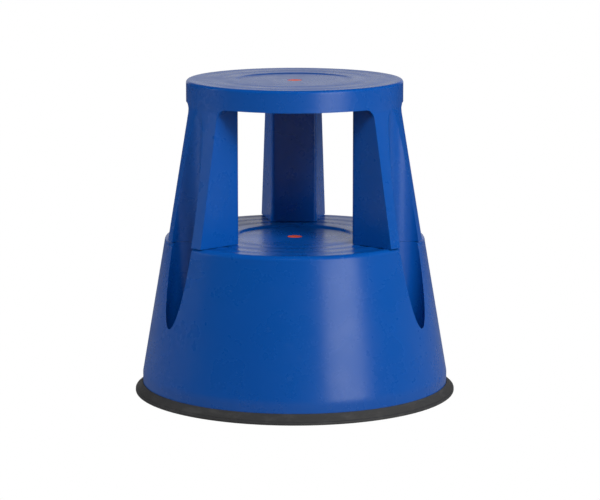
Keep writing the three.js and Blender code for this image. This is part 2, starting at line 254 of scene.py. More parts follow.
def flank_point(radius, away):
    """Where a line along the flank, shifted away from the leg, meets a circle about the stool's axis."""
    along = np.array([1, FLANK_SLOPE]) / FLANK_RUN
    across = np.array([-FLANK_SLOPE, 1]) / FLANK_RUN
    base = np.array([LEG_INNER, LEG_HALF_WIDTH]) + np.multiply.outer(away, across)
    forward = base @ along
    reach = -forward + np.sqrt(radius**2 - (base**2).sum(-1) + forward**2)
    return base + reach[..., None] * along


def on_circle(radius, phi, z):
    """Points at a radius, an angle from the leg's middle and a height, as arrays of one shape."""
    radius, phi, z = np.broadcast_arrays(radius, phi, z)
    return np.stack([radius * np.cos(phi), radius * np.sin(phi), z], -1)


def between(start, end, columns):
    """Rows of evenly spaced values from start to end, one row per entry of start."""
    t = np.linspace(0, 1, columns + 1)
    return np.asarray(start)[:, None] * (1 - t) + np.asarray(end)[:, None] * t


def lifted(plan, z):
    """Plan points given a height."""
    height = np.broadcast_to(np.asarray(z, float)[..., None], plan.shape[:-1] + (1,))
    return np.concatenate([plan, height], -1)


def ring_waves(r, rings, depth, half_width):
    """Depth of the tread's round grooves: a raised-cosine dip centred on each ring radius."""
    dip = np.zeros_like(r)
    for ring in rings:
        t = np.clip(np.abs(r - ring) / half_width, 0, 1)
        dip = np.minimum(dip, -depth * 0.5 * (1 + np.cos(np.pi * t)))
    return dip


def tread_profile(rim_radius, height, rim, rings, recess, depth=0.8 * MM, half_width=12 * MM):
    """(radius, height) pairs round the rim and over the grooved ring into the sunk centre."""
    edge = arc((rim_radius - rim, height - rim), rim, 0, 90, 8)
    inner = BADGE_RADIUS + GAP
    floor = height - recess
    radii = np.arange(rim_radius - rim - 1 * MM, CENTRE_RADIUS + 6 * MM, -1.6 * MM)
    across = [(r, height + dz) for r, dz in zip(radii, ring_waves(radii, rings, depth, half_width))]
    t = np.linspace(0, 1, 9)
    riser = list(zip(CENTRE_RADIUS + (4 - 8 * t) * MM, height - recess * t * t * (3 - 2 * t)))
    sunk = [(r, floor) for r in np.linspace(CENTRE_RADIUS - 6 * MM, inner + 4 * MM, 6)]
    lip = [(inner + 0.25 * MM, floor), (inner, floor - 0.25 * MM)]
    well = [(inner, floor - BADGE_DEPTH), (0.5 * inner, floor - BADGE_DEPTH), (0, floor - BADGE_DEPTH)]
    return edge + across + riser + sunk + lip + well


TOP_RINGS = tuple(r * MM for r in (100, 129))
STEP_RINGS = tuple(r * MM for r in (103, 130, 157))


# ---------------------------------------------------------------------------
# Upper moulding
# ---------------------------------------------------------------------------
def leg_rows():
    """Heights of the leg's rows, closer near the slot's point, and the window corner's curve."""
    arch = SKIRT_BOTTOM - WINDOW_CORNER
    near = CONE_TOP - (CONE_TOP - arch) * np.linspace(1, 0, 12) ** 2
    angles = np.concatenate([np.arcsin((near - arch) / WINDOW_CORNER), [1.05, 1.3, math.pi / 2]])
    low = [LEG_FOOT, LEG_FOOT + 2.5 * MM] + list(np.linspace(LEG_FOOT + 9 * MM, arch - 20 * MM, 20))
    low += [arch - k * MM for k in (14, 9, 5, 2)]
    return np.array(low), arch + WINDOW_CORNER * np.sin(angles), WINDOW_CORNER * (1 - np.cos(angles))


def slot_wall(z, outset):
    """Slot wall from the middle of its back to where it meets the cone, one row per height."""
    line = slot_line(outset)
    edge = np.interp(body_radius(z) - outset, np.hypot(*line.T), line_lengths(line))
    return lifted(polyline_at(line, between(np.zeros_like(z), edge, SLOT_COLUMNS)), z[:, None])


def leg_wall(z, radius, inset, columns):
    """Flank and web from a radius inwards to the middle of the web, one row per height."""
    line, web, corner = leg_line(inset)
    lengths, radii = line_lengths(line), np.hypot(*line.T)
    outer = np.interp(radius, radii, lengths)
    n_web = columns // 3
    n_turn = columns // 4
    n_flank = columns - n_web - n_turn
    flank = between(outer, np.full_like(z, corner), n_flank)
    turn = between(np.full_like(z, corner), np.full_like(z, web), n_turn)
    flat = between(np.full_like(z, web), np.zeros_like(z), n_web)
    s = np.concatenate([flank, turn[:, 1:], flat[:, 1:]], 1)
    return lifted(polyline_at(line, s), z[:, None])


def window_angles(edge):
    """Evenly spaced angles from the end of a leg's edge to the window's middle."""
    return np.linspace(math.atan2(edge[-1, 1], edge[-1, 0]), HALF_SECTOR, WINDOW_COLUMNS + 1)


def upper_body():
    """Top step, skirt and legs as half a sector of matching grids, mirrored and turned three times.

    Outer skin on the cone between slot and flank, slot wall, flank and web, a ledge round the
    window, the skirt's inner face, the ceiling, the tread, and a hollow up inside each leg.
    """
    low, arch, away = leg_rows()
    rows = np.concatenate([low, arch])
    shift = np.concatenate([np.zeros_like(low), away])
    slot_rows = rows[rows <= CONE_TOP + 1e-9]
    slot = slot_wall(slot_rows, 0)
    inner_phi = np.zeros_like(rows)
    inner_phi[: len(slot_rows)] = np.arctan2(slot[:, -1, 1], slot[:, -1, 0])
    radius = body_radius(rows)
    outer_edge = flank_point(radius, shift)
    inner_edge = flank_point(radius - WALL, shift)
    outer_phi = np.arctan2(outer_edge[:, 1], outer_edge[:, 0])
    strip = on_circle(radius[:, None], between(inner_phi, outer_phi, STRIP_COLUMNS), rows[:, None])
    t = np.linspace(0, 1, LEDGE_COLUMNS + 1)[None, :, None]
    ledge = lifted(outer_edge[:, None] * (1 - t) + inner_edge[:, None] * t, rows[:, None])

    # tread and rim over every column
    window_phi = window_angles(outer_edge)
    strip_phi = np.arctan2(strip[-1, :, 1], strip[-1, :, 0])
    phi = np.concatenate([strip_phi, window_phi[1:]])
    skirt = [(TOP_RADIUS, z) for z in np.linspace(SKIRT_BOTTOM, HEIGHT - TOP_RIM - 1.5 * MM, 6)]
    profile = np.array(skirt + tread_profile(TOP_RADIUS, HEIGHT, TOP_RIM, TOP_RINGS, TOP_RECESS))
    tread = on_circle(profile[:, :1], phi[None], profile[:, 1:])

    # window ledge and the skirt's inner face
    ceiling = HEIGHT - TREAD
    inner_window_phi = window_angles(inner_edge)
    outer_rim = on_circle(TOP_RADIUS, window_phi, SKIRT_BOTTOM)
    inner_rim = on_circle(TOP_RADIUS - WALL, inner_window_phi, SKIRT_BOTTOM)
    top_ledge = np.stack([outer_rim * (1 - k) + inner_rim * k for k in t.ravel()])
    v = np.linspace(0, 1, 7)[:, None]
    climb = arch[None] * (1 - v) + ceiling * v
    flank_plan = flank_point(body_radius(climb) - WALL, np.broadcast_to(away, climb.shape))
    flank_side = lifted(flank_plan, climb)
    window_side = on_circle(TOP_RADIUS - WALL, inner_window_phi[None], SKIRT_BOTTOM * (1 - v) + ceiling * v)

    # flank and web, from the foot to the ceiling
    columns = SLOT_COLUMNS + STRIP_COLUMNS - LEDGE_COLUMNS
    wall_rows = np.concatenate([low, (arch[0] * (1 - v) + ceiling * v).ravel()])
    wall = leg_wall(wall_rows, body_radius(wall_rows) - WALL, 0, columns)

    # ceiling, from the boundary in to the middle
    edge = np.concatenate([wall[-1][::-1], flank_side[-1][1:], window_side[-1][1:]])
    share = line_lengths(edge[:, :2]) / line_lengths(edge[:, :2])[-1]
    inner_ring = on_circle(30 * MM, share * math.pi / 3, ceiling)
    middle = np.zeros_like(inner_ring) + np.array([0, 0, ceiling])
    ceiling_grid = np.stack([middle] + [inner_ring * (1 - k) + edge * k for k in np.linspace(0, 1, 9)])

    # hollow inside the leg, and the foot rim that joins it to the outside
    hollow_rows = np.linspace(LEG_FOOT, HOLLOW_TOP, 14)
    in_slot = slot_wall(hollow_rows, WALL)
    in_radius = body_radius(hollow_rows) - WALL
    in_leg = leg_wall(hollow_rows, in_radius, WALL, columns + LEDGE_COLUMNS)
    in_strip = on_circle(in_radius[:, None],
                         between(np.arctan2(in_slot[:, -1, 1], in_slot[:, -1, 0]),
                                 np.arctan2(in_leg[:, 0, 1], in_leg[:, 0, 0]), STRIP_COLUMNS),
                         hollow_rows[:, None])
    outer_loop = np.concatenate([slot[0], strip[0][1:], ledge[0][1:], wall[0][1:]])
    inner_loop = np.concatenate([in_slot[0], in_strip[0][1:], in_leg[0][1:]])
    outside = np.concatenate([in_slot[-1], in_strip[-1][1:]])
    cap = np.stack([outside * (1 - k) + in_leg[-1][::-1] * k for k in np.linspace(0, 1, 6)])
    half = [slot, strip, ledge, tread, top_ledge, flank_side, window_side, wall, ceiling_grid,
            in_slot, in_strip, in_leg, np.stack([outer_loop, inner_loop]), cap]
    return six_fold(half)


def top_ribs():
    """Ribs under the top step: one round, six running out to the skirt."""
    ceiling = HEIGHT - TREAD
    low, high = ceiling - 14 * MM, ceiling + 1 * MM
    half = 1.5 * MM
    grids = [lathe(rectangle(58 * MM, 61 * MM, low, high), 96, closed=True)]
    for azimuth in range(0, 360, 60):
        plan = rectangle(RIB_START, 144.5 * MM, -half, half)
        grids += [placed(g, azimuth) for g in slab(plan, low, high)]
    return grids


def screw_bosses():
    """Bosses up inside each leg for its two screws, each with a web to the leg's inner wall."""
    low, high = LEG_FOOT + 0.5 * MM, LEG_FOOT + 36 * MM
    bore, outside = 2.3 * MM, 6 * MM
    blind = high - 9 * MM
    boss = lathe([(0, blind), (bore, blind), (bore, low), (outside, low), (outside, high), (0, high)], 24)
    grids = []
    for azimuth in LEG_AZIMUTHS:
        for tau in (-SCREW_TAU, SCREW_TAU):
            web = rectangle(LEG_INNER + 2 * MM, SCREW_RHO - 4 * MM, tau - 1.5 * MM, tau + 1.5 * MM)
            pair = [boss + np.array([SCREW_RHO, tau, 0])] + slab(web, low, high)
            grids += [placed(g, azimuth) for g in pair]
    return grids


# ---------------------------------------------------------------------------
# Lower moulding
# ---------------------------------------------------------------------------
def drum_skin(inset):
    """One face of the drum's wall over half a sector: cone, rounded rim, deck and hand pocket.

    Every column of the cone follows the same profile up to where the pocket cuts it, so the
    pocket's edge is the line where its upright wall meets the cone. Returns grids and the foot row.
    """
    deck = STEP - (TREAD if inset else 0)
    rim = STEP_RIM - inset
    turn_z = deck - rim
    side = body_radius(np.array([turn_z]))[0] - DRUM_INSET - inset
    flat = side - rim
    foot_z = [DRUM_FOOT, DRUM_FOOT + 2 * MM]
    band_z = np.linspace(DRUM_FOOT + 8 * MM, CONE_BOTTOM, 4)
    cone_z = np.concatenate([foot_z, band_z, np.linspace(CONE_BOTTOM, turn_z, 40)[1:]])
    cone = np.stack([body_radius(cone_z) - DRUM_INSET - inset, cone_z], -1)
    profile = np.concatenate([cone, np.array(arc((flat, turn_z), rim, 0, 90, 9))[1:]])
    lengths = line_lengths(profile)

    line = slot_line(inset)
    s_line = line_lengths(line)
    s_rim = np.interp(flat, np.hypot(*line.T), s_line)
    s_pocket = np.linspace(s_rim, s_line[-1], POCKET_COLUMNS + 1)
    plan = polyline_at(line, np.concatenate([np.linspace(0, s_rim, SLOT_COLUMNS + 1), s_pocket[1:]]))
    plan[-1, 1] = 0
    limit = body_radius(np.array([SLOT_FLOOR - inset]))[0] - DRUM_INSET - inset - 0.2 * MM
    plan *= np.minimum(1, limit / np.hypot(*plan.T))[:, None]
    plan_r = np.hypot(*plan.T)
    reversed_r = profile[::-1, 0]
    upright = np.where(plan_r <= flat, lengths[-1], np.interp(plan_r, reversed_r, lengths[::-1]))
    top_z = np.interp(upright, lengths, profile[:, 1])
    first = SLOT_COLUMNS
    top_z[: first + 1] = deck

    # cone under the pocket, then the full cone out to the window's middle
    phi_pocket = np.arctan2(plan[first:, 1], plan[first:, 0])
    fraction = lengths / lengths[-1]
    cut = fraction[:, None] * upright[None, first:]
    cut[:, 0] = lengths
    cut_radius, cut_z = (np.interp(cut, lengths, profile[:, k]) for k in (0, 1))
    under = on_circle(cut_radius, phi_pocket[None], cut_z)
    phi_full = np.linspace(phi_pocket[0], HALF_SECTOR, WINDOW_COLUMNS + STRIP_COLUMNS + 1)
    full = on_circle(profile[:, :1], phi_full[None], profile[:, 1:])

    # pocket wall and floor
    floor = SLOT_FLOOR - inset
    down = np.concatenate([[0, 0.02], np.linspace(0.06, 1, 12)])[:, None]
    wall = lifted(np.broadcast_to(plan, (len(down),) + plan.shape), top_z * (1 - down) + floor * down)
    middle = np.stack([np.linspace(plan[0, 0], plan[-1, 0], len(plan)), np.zeros(len(plan))], -1)
    floor_grid = np.stack([lifted(plan * (1 - k) + middle * k, floor) for k in np.linspace(0, 1, 7)])

    # deck, inwards from the slot's wall and the rim
    ring_r = 66 * MM
    if inset:
        ledge = CENTRE_RADIUS + 3 * MM
        floor_in = deck - STEP_RECESS
        inward = np.array([(r, deck) for r in np.linspace(flat, ledge + 1 * MM, 9)]
                          + [(ledge, deck), (ledge, floor_in)]
                          + [(r, floor_in) for r in np.linspace(ledge - 4 * MM, 0, 8)])
    else:
        tread = tread_profile(side, deck, rim, STEP_RINGS, STEP_RECESS)
        inward = np.array([p for p in tread if p[0] <= flat + 1e-9])
    rim_plan = flat * np.stack([np.cos(phi_full), np.sin(phi_full)], -1)
    chain = np.concatenate([plan[: first + 1], rim_plan[1:]])
    hidden = np.linspace(0, phi_full[0], first + 1)
    phi_inner = np.concatenate([hidden, phi_full[1:]])
    blend_in = np.clip((inward[:, 0] - ring_r) / (flat - ring_r), 0, 1)[:, None, None]
    unit = np.stack([np.cos(phi_inner), np.sin(phi_inner)], -1)
    polar = unit[None] * inward[:, 0][:, None, None]
    chain_share = (chain - flat * unit)[None]
    deck_grid = lifted(polar + blend_in**2 * chain_share, inward[:, 1][:, None])
    foot = np.concatenate([under[0][::-1], full[0][1:]])
    return [under, full, wall, floor_grid, deck_grid], foot


def lower_drum():
    """Outer and inner faces of the drum's wall, joined round the foot."""
    outer, outer_foot = drum_skin(0)
    inner, inner_foot = drum_skin(WALL)
    return six_fold(outer + inner + [np.stack([outer_foot, inner_foot])])


def drum_ribs():
    """Castor towers and the ribs that carry them, under the deck."""
    deck = STEP - TREAD
    high = deck + 1 * MM
    half = WALL / 2
    tower_top = TOWER_TOP + TREAD
    low = TOWER_BOTTOM + 8 * MM
    cross_low = TOWER_BOTTOM + 32 * MM
    grids = [lathe(rectangle(58 * MM, 61.5 * MM, 160 * MM, high), 96, closed=True)]
    tower = lathe([(0, tower_top), (TOWER_RADIUS, tower_top), (TOWER_RADIUS, TOWER_BOTTOM),
                   (TOWER_BORE, TOWER_BOTTOM), (TOWER_BORE, TOWER_TOP), (0, TOWER_TOP)], 64)
    reach = lambda z: body_radius(np.array([z]))[0] - DRUM_INSET - WALL + 1 * MM
    wall_low, wall_high = reach(low), reach(high)
    bite = TOWER_RADIUS - 1 * MM
    past = bite + 1 * MM
    left, right = CASTOR_RHO - half, CASTOR_RHO + half
    for azimuth in CASTOR_AZIMUTHS:
        pieces = [placed(tower, 0, (CASTOR_RHO, 0, 0))]
        pieces += slab(rectangle(RIB_START, CASTOR_RHO - bite, -half, half), low, high)
        pieces += rib_to_wall(CASTOR_RHO + bite, wall_low, wall_high, half, low, high)
        over = rectangle(CASTOR_RHO - bite - 1 * MM, CASTOR_RHO + bite + 1 * MM, -half, half)
        pieces += slab(over, TOWER_TOP + 2 * MM, high)
        for side in (-1, 1):
            pieces += slab(rectangle(left, right, side * bite, side * 58 * MM), cross_low, high)
        pieces += slab(rectangle(left, right, -past, past), TOWER_TOP + 2 * MM, high)
        grids += [placed(g, azimuth) for g in pieces]
    for azimuth in LEG_AZIMUTHS:
        plan = rectangle(RIB_START, 144 * MM, -half, half)
        grids += [placed(g, azimuth) for g in slab(plan, 150 * MM, high)]
    return grids


def rib_to_wall(start, wall_low, wall_high, half, low, high):
    """Upright rib from a radius out to the sloping wall: a slab whose outer edge leans with the cone."""
    lows = [(start, -half, low), (wall_low, -half, low), (wall_low, half, low), (start, half, low)]
    highs = [(start, -half, high), (wall_high, -half, high), (wall_high, half, high), (start, half, high)]
    rings = np.array([lows + lows[:1], highs + highs[:1]], float)
    return [rings] + [rings[k][[0, 1, 3, 2]].reshape(2, 2, 3) for k in (0, 1)]


# ---------------------------------------------------------------------------
# Ring, badges, screws
# ---------------------------------------------------------------------------
def base_ring():
    """Rubber ring: a channel for the drum's foot, with a flared bumper and a thin lower lip outside it."""
    wall = body_radius(np.array([0.0]))[0] - DRUM_INSET
    inner = wall - WALL
    channel = DRUM_FOOT - GAP
    high = RING_HIGH
    profile = [(inner - 3.3 * MM, RING_LOW + 0.8 * MM), (inner - 2.5 * MM, RING_LOW)]
    profile += [(RING_RADIUS - 8 * MM, RING_LOW), (RING_RADIUS - 1.2 * MM, RING_LOW)]
    profile += arc((RING_RADIUS - 1.2 * MM, RING_LOW + 1.2 * MM), 1.2 * MM, -90, 0, 4)[1:]
    profile += arc((RING_RADIUS - 1.2 * MM, RING_LOW + 2.8 * MM), 1.2 * MM, 0, 80, 5)[1:]
    profile += [(RING_RADIUS - 2.0 * MM, RING_LOW + 4.1 * MM), (RING_RADIUS - 2.6 * MM, RING_LOW + 4.3 * MM)]
    profile += [(RING_RADIUS - 2.6 * MM, RING_LOW + 4.8 * MM), (RING_RADIUS - 3.0 * MM, RING_LOW + 5.6 * MM)]
    profile += [(wall + 4.4 * MM, high - 4.6 * MM)]
    profile += [(wall + 2.2 * MM, high - 2.0 * MM), (wall + 1.6 * MM, high - 0.5 * MM)]
    profile += [(wall + 1.0 * MM, high)]
    profile += [(wall + 0.6 * MM, high), (wall + GAP, high - 0.3 * MM)]
    profile += [(wall + GAP, channel), (inner - GAP, channel), (inner - GAP, high - 2.3 * MM)]
    profile += [(inner - GAP - 0.4 * MM, high - 2 * MM), (inner - 2.9 * MM, high - 2 * MM)]
    profile += [(inner - 3.3 * MM, high - 2.4 * MM)]
    return [lathe(profile, 240, closed=True)]


def badge(z):
    """Round inlay: flat back, rounded edge, a very low dome with one shallow ring near its edge."""
    r = BADGE_RADIUS
    profile = [(0, z - 1.6 * MM), (r - 0.2 * MM, z - 1.6 * MM), (r, z - 1.4 * MM), (r, z - 0.6 * MM)]
    profile += arc((r - 0.5 * MM, z - 0.6 * MM), 0.5 * MM, 0, 90, 4)[1:]
    radii = np.linspace(r - 0.9 * MM, 0, 18)
    dome = z - 0.1 * MM + 0.25 * MM * (1 - (radii / r) ** 2) - 0.15 * MM
    dome += ring_waves(radii, (r - 2.4 * MM,), 0.25 * MM, 0.8 * MM)
    return [lathe(profile + list(zip(radii, dome)), 72)]


def leg_screw(z):
    """Pan-head screw pointing up, with a six-lobed recess in its head and rolls of thread on its shank."""
    turns = []
    root, crest = 1.5 * MM, 1.9 * MM
    for k in range(14):
        low = z + (3 + 1.5 * k) * MM
        turns += [(root, low), (crest, low + 0.5 * MM), (crest, low + 0.7 * MM), (root, low + 1.2 * MM)]
    profile = [(0, z - 1.4 * MM), (1.5 * MM, z - 1.4 * MM), (1.5 * MM, z - 3 * MM)]
    profile += [(2.2 * MM, z - 3 * MM), (3.2 * MM, z - 2.6 * MM)]
    profile += [(3.8 * MM, z - 1.8 * MM), (4 * MM, z - 1 * MM)]
    profile += [(4 * MM, z), (1.6 * MM, z)] + turns + [(1.4 * MM, z + 24.4 * MM), (0, z + 26 * MM)]
    in_recess = np.arange(len(profile))[:, None] < 3
    lobes = lambda r, a: np.where((r > 0) & in_recess, 1 + 0.16 * np.cos(6 * a), 1.0)
    return [lathe(profile, 48, wave=lobes)]


# ---------------------------------------------------------------------------
# Castors, each about its own stem and turned into place
# ---------------------------------------------------------------------------
FORK_TOP = 46 * MM
FORK_PLATE = 2.5 * MM
RING_SEAT = 74.3 * MM
SPRING_FOOT = RING_SEAT + 2.4 * MM
STEM_TOP = 84 * MM
STEM_RADIUS = 5 * MM
WHEEL_RADIUS = 19 * MM
CHEEK_MIDDLE = 8.85 * MM
CHEEK_FACE = 10.1 * MM
BEND = 4 * MM
SPRING_RADIUS = 8.5 * MM
SPRING_WIRE = 1.1 * MM
SPRING_TURNS = 7


def rounded_corners(corners, r):
    """Profile with every corner cut back to a short chamfer of length r."""
    out = []
    count = len(corners)
    pts = np.array(corners, float)
    for i in range(count):
        here, before, after = pts[i], pts[i - 1], pts[(i + 1) % count]
        if here[0] == 0:
            out.append(tuple(here))
            continue
        for other in (before, after):
            way = other - here
            out.append(tuple(here + way * min(r / np.linalg.norm(way), 0.4)))
    return out


def castor_bush():
    """Flanged bush with its bore open right through."""
    bore, sleeve, flange = STEM_RADIUS + GAP, TOWER_BORE - GAP, TOWER_BOTTOM - GAP
    underside = flange - 4 * MM
    corners = [(bore, underside), (TOWER_RADIUS, underside), (TOWER_RADIUS, flange), (sleeve, flange),
               (sleeve, RING_SEAT), (bore, RING_SEAT)]
    return [lathe(rounded_corners(corners, 0.4 * MM), 64, closed=True)]


def castor_stem():
    """Turned stem: rivet head under the fork, collar above it, groove for the retaining ring."""
    r, plate = STEM_RADIUS, FORK_TOP - FORK_PLATE
    collar, groove = FORK_TOP + 2.3 * MM, r - 0.8 * MM
    corners = [(0, plate - 2.6 * MM), (5.5 * MM, plate - 2.6 * MM), (6.6 * MM, plate - 1.4 * MM),
               (6.6 * MM, plate - GAP), (r, plate - GAP), (r, FORK_TOP + GAP), (9 * MM, FORK_TOP + GAP),
               (9 * MM, collar), (r, collar), (r, RING_SEAT), (groove, RING_SEAT), (groove, SPRING_FOOT),
               (r, SPRING_FOOT), (r, STEM_TOP - 1 * MM), (r - 1 * MM, STEM_TOP), (0, STEM_TOP)]
    return [lathe(rounded_corners(corners, 0.25 * MM), 48)]


def retaining_ring():
    """Flat spring-steel ring in the stem's groove."""
    inner = STEM_RADIUS - 0.5 * MM
    corners = [(inner, RING_SEAT + GAP), (10.5 * MM, RING_SEAT + GAP), (10.5 * MM, RING_SEAT + 2.1 * MM),
               (inner, RING_SEAT + 2.1 * MM)]
    return [lathe(rounded_corners(corners, 0.3 * MM), 48, closed=True)]


def castor_spring():
    """Compression spring: round wire carried along a helix whose first and last turns lie close."""
    low = SPRING_FOOT + SPRING_WIRE
    high = TOWER_TOP - GAP - SPRING_WIRE
    t = np.linspace(0, 1, SPRING_TURNS * 32 + 1)
    angle = 2 * np.pi * SPRING_TURNS * t
    dead = 1 / SPRING_TURNS
    climb = np.clip((t - dead) / (1 - 2 * dead), 0, 1)
    closed = 2 * SPRING_WIRE * 1.02
    rise = closed * (np.minimum(t, dead) + np.maximum(t - 1 + dead, 0)) / dead
    z = low + rise + (high - low - 2 * closed) * (climb * climb * (3 - 2 * climb) * 0.25 + 0.75 * climb)
    path = np.stack([SPRING_RADIUS * np.cos(angle), SPRING_RADIUS * np.sin(angle), z], -1)
    outward = np.stack([np.cos(angle), np.sin(angle), np.zeros_like(angle)], -1)
    tangent = np.gradient(path, axis=0)
    tangent /= np.linalg.norm(tangent, axis=1, keepdims=True)
    upward = np.cross(tangent, outward)
    around = np.linspace(0, 2 * np.pi, 13)[None, :, None]
    tube = path[:, None] + SPRING_WIRE * (outward[:, None] * np.cos(around) + upward[:, None] * np.sin(around))
    ends = [np.stack([tube[k], np.broadcast_to(path[k], tube[k].shape)]) for k in (0, -1)]
    return [tube] + ends


def castor_fork():
    """Pressed fork: a strip bent down both sides, gridded along the bend and across the trail.

    The middle line runs up one cheek, round a bend, over the top and down the other cheek. The
    strip's width narrows down each cheek and ends in a half circle round the axle.
    """
    top = FORK_TOP - FORK_PLATE / 2
    tip = 7 * MM
    end = np.radians(np.linspace(-90, 0, 13))
    below = WHEEL_RADIUS + tip * np.sin(end)
    heights = np.concatenate([below, np.linspace(WHEEL_RADIUS, top - BEND, 12)[1:]])
    cheek = [(CHEEK_MIDDLE, z) for z in heights]
    bend = arc((CHEEK_MIDDLE - BEND, top - BEND), BEND, 0, 90, 7)[1:]
    flat = [(y, top) for y in np.linspace(CHEEK_MIDDLE - BEND, 0, 4)[1:]]
    half = np.array(cheek + bend + flat)
    rise = np.clip((half[:, 1] - WHEEL_RADIUS) / (top - WHEEL_RADIUS), 0, 1)
    ease = rise * rise * (3 - 2 * rise)
    round_end = np.sqrt(np.maximum(tip**2 - (half[:, 1] - WHEEL_RADIUS) ** 2, 0))
    width = np.where(half[:, 1] < WHEEL_RADIUS, round_end, tip + 5 * MM * ease)
    centre = -TRAIL + TRAIL * ease
    along = centre[:, None] + width[:, None] * np.linspace(-1, 1, 15)
    sideways, upright = (np.broadcast_to(half[:, k : k + 1], along.shape) for k in (0, 1))
    one = np.stack([along, sideways, upright], -1)
    other = (one * np.array([1, -1, 1]))[::-1]
    sheet = np.concatenate([one, other[1:]])
    # thickness: the same sheet moved in and out along its own normal
    up = np.gradient(sheet, axis=0)
    across = np.broadcast_to(np.array([1.0, 0, 0]), up.shape)
    normal = np.cross(across, up)
    normal[..., 0] = 0
    normal /= np.maximum(np.linalg.norm(normal, axis=-1, keepdims=True), 1e-9)
    half_thick = FORK_PLATE / 2
    outer, inner = sheet + normal * half_thick, sheet - normal * half_thick
    sides = [np.stack([outer[:, k], inner[:, k]]) for k in (0, -1)]
    tips = [np.stack([outer[k], inner[k]]) for k in (0, -1)]
    return [outer, inner] + sides + tips


def along_axle(grids):
    """Lays bodies of revolution along the wheel's axle."""
    lay = np.array([[1, 0, 0], [0, 0, -1], [0, 1, 0]])
    return [g @ lay.T + np.array([-TRAIL, 0, WHEEL_RADIUS]) for g in grids]


def mirrored(side):
    """Profile on one side of the wheel's middle, completed with its mirror image."""
    return [(r, -z) for r, z in side][::-1] + list(side)


def castor_axle():
    """Rivet through both cheeks: a plain shank with a low rounded head at each end."""
    shoulder = CHEEK_FACE + GAP
    side = [(3 * MM, shoulder), (4.4 * MM, shoulder), (4.4 * MM, shoulder + 0.7 * MM)]
    side += [(4.0 * MM, shoulder + 1.3 * MM), (3 * MM, shoulder + 1.7 * MM)]
    side += [(1.2 * MM, shoulder + 1.8 * MM), (0, shoulder + 1.8 * MM)]
    return along_axle([lathe(mirrored(side), 40)])


def castor_wheel():
    """Nylon hub with a dished web between its rim and its boss."""
    rim = WHEEL_RADIUS - 3.3 * MM
    bore = 3.3 * MM
    side = [(rim, 5.1 * MM), (rim - 0.4 * MM, 5.5 * MM)]
    side += [(rim - 1.8 * MM, 5.5 * MM), (rim - 2.3 * MM, 5.1 * MM)]
    side += [(rim - 3 * MM, 3.2 * MM), (rim - 3.8 * MM, 2.6 * MM), (9.2 * MM, 2.5 * MM), (7.8 * MM, 2.9 * MM)]
    side += [(7.1 * MM, 4 * MM), (6.9 * MM, 6.6 * MM), (6.4 * MM, 7 * MM)]
    side += [(bore + 0.4 * MM, 7 * MM), (bore, 6.7 * MM)]
    return along_axle([lathe(mirrored(side), 72, closed=True)])


def castor_tyre():
    """Soft tread with a slightly crowned face and rounded shoulders."""
    inner, r = WHEEL_RADIUS - 3 * MM, WHEEL_RADIUS
    side = [(r, 0), (r - 0.05 * MM, 1.5 * MM), (r - 0.2 * MM, 3 * MM)]
    side += arc((r - 1.7 * MM, 4.2 * MM), 1.6 * MM, 10, 90, 5)
    side += [(inner + 0.3 * MM, 5.8 * MM), (inner, 5.5 * MM)]
    return along_axle([lathe(mirrored(side), 96, closed=True)])


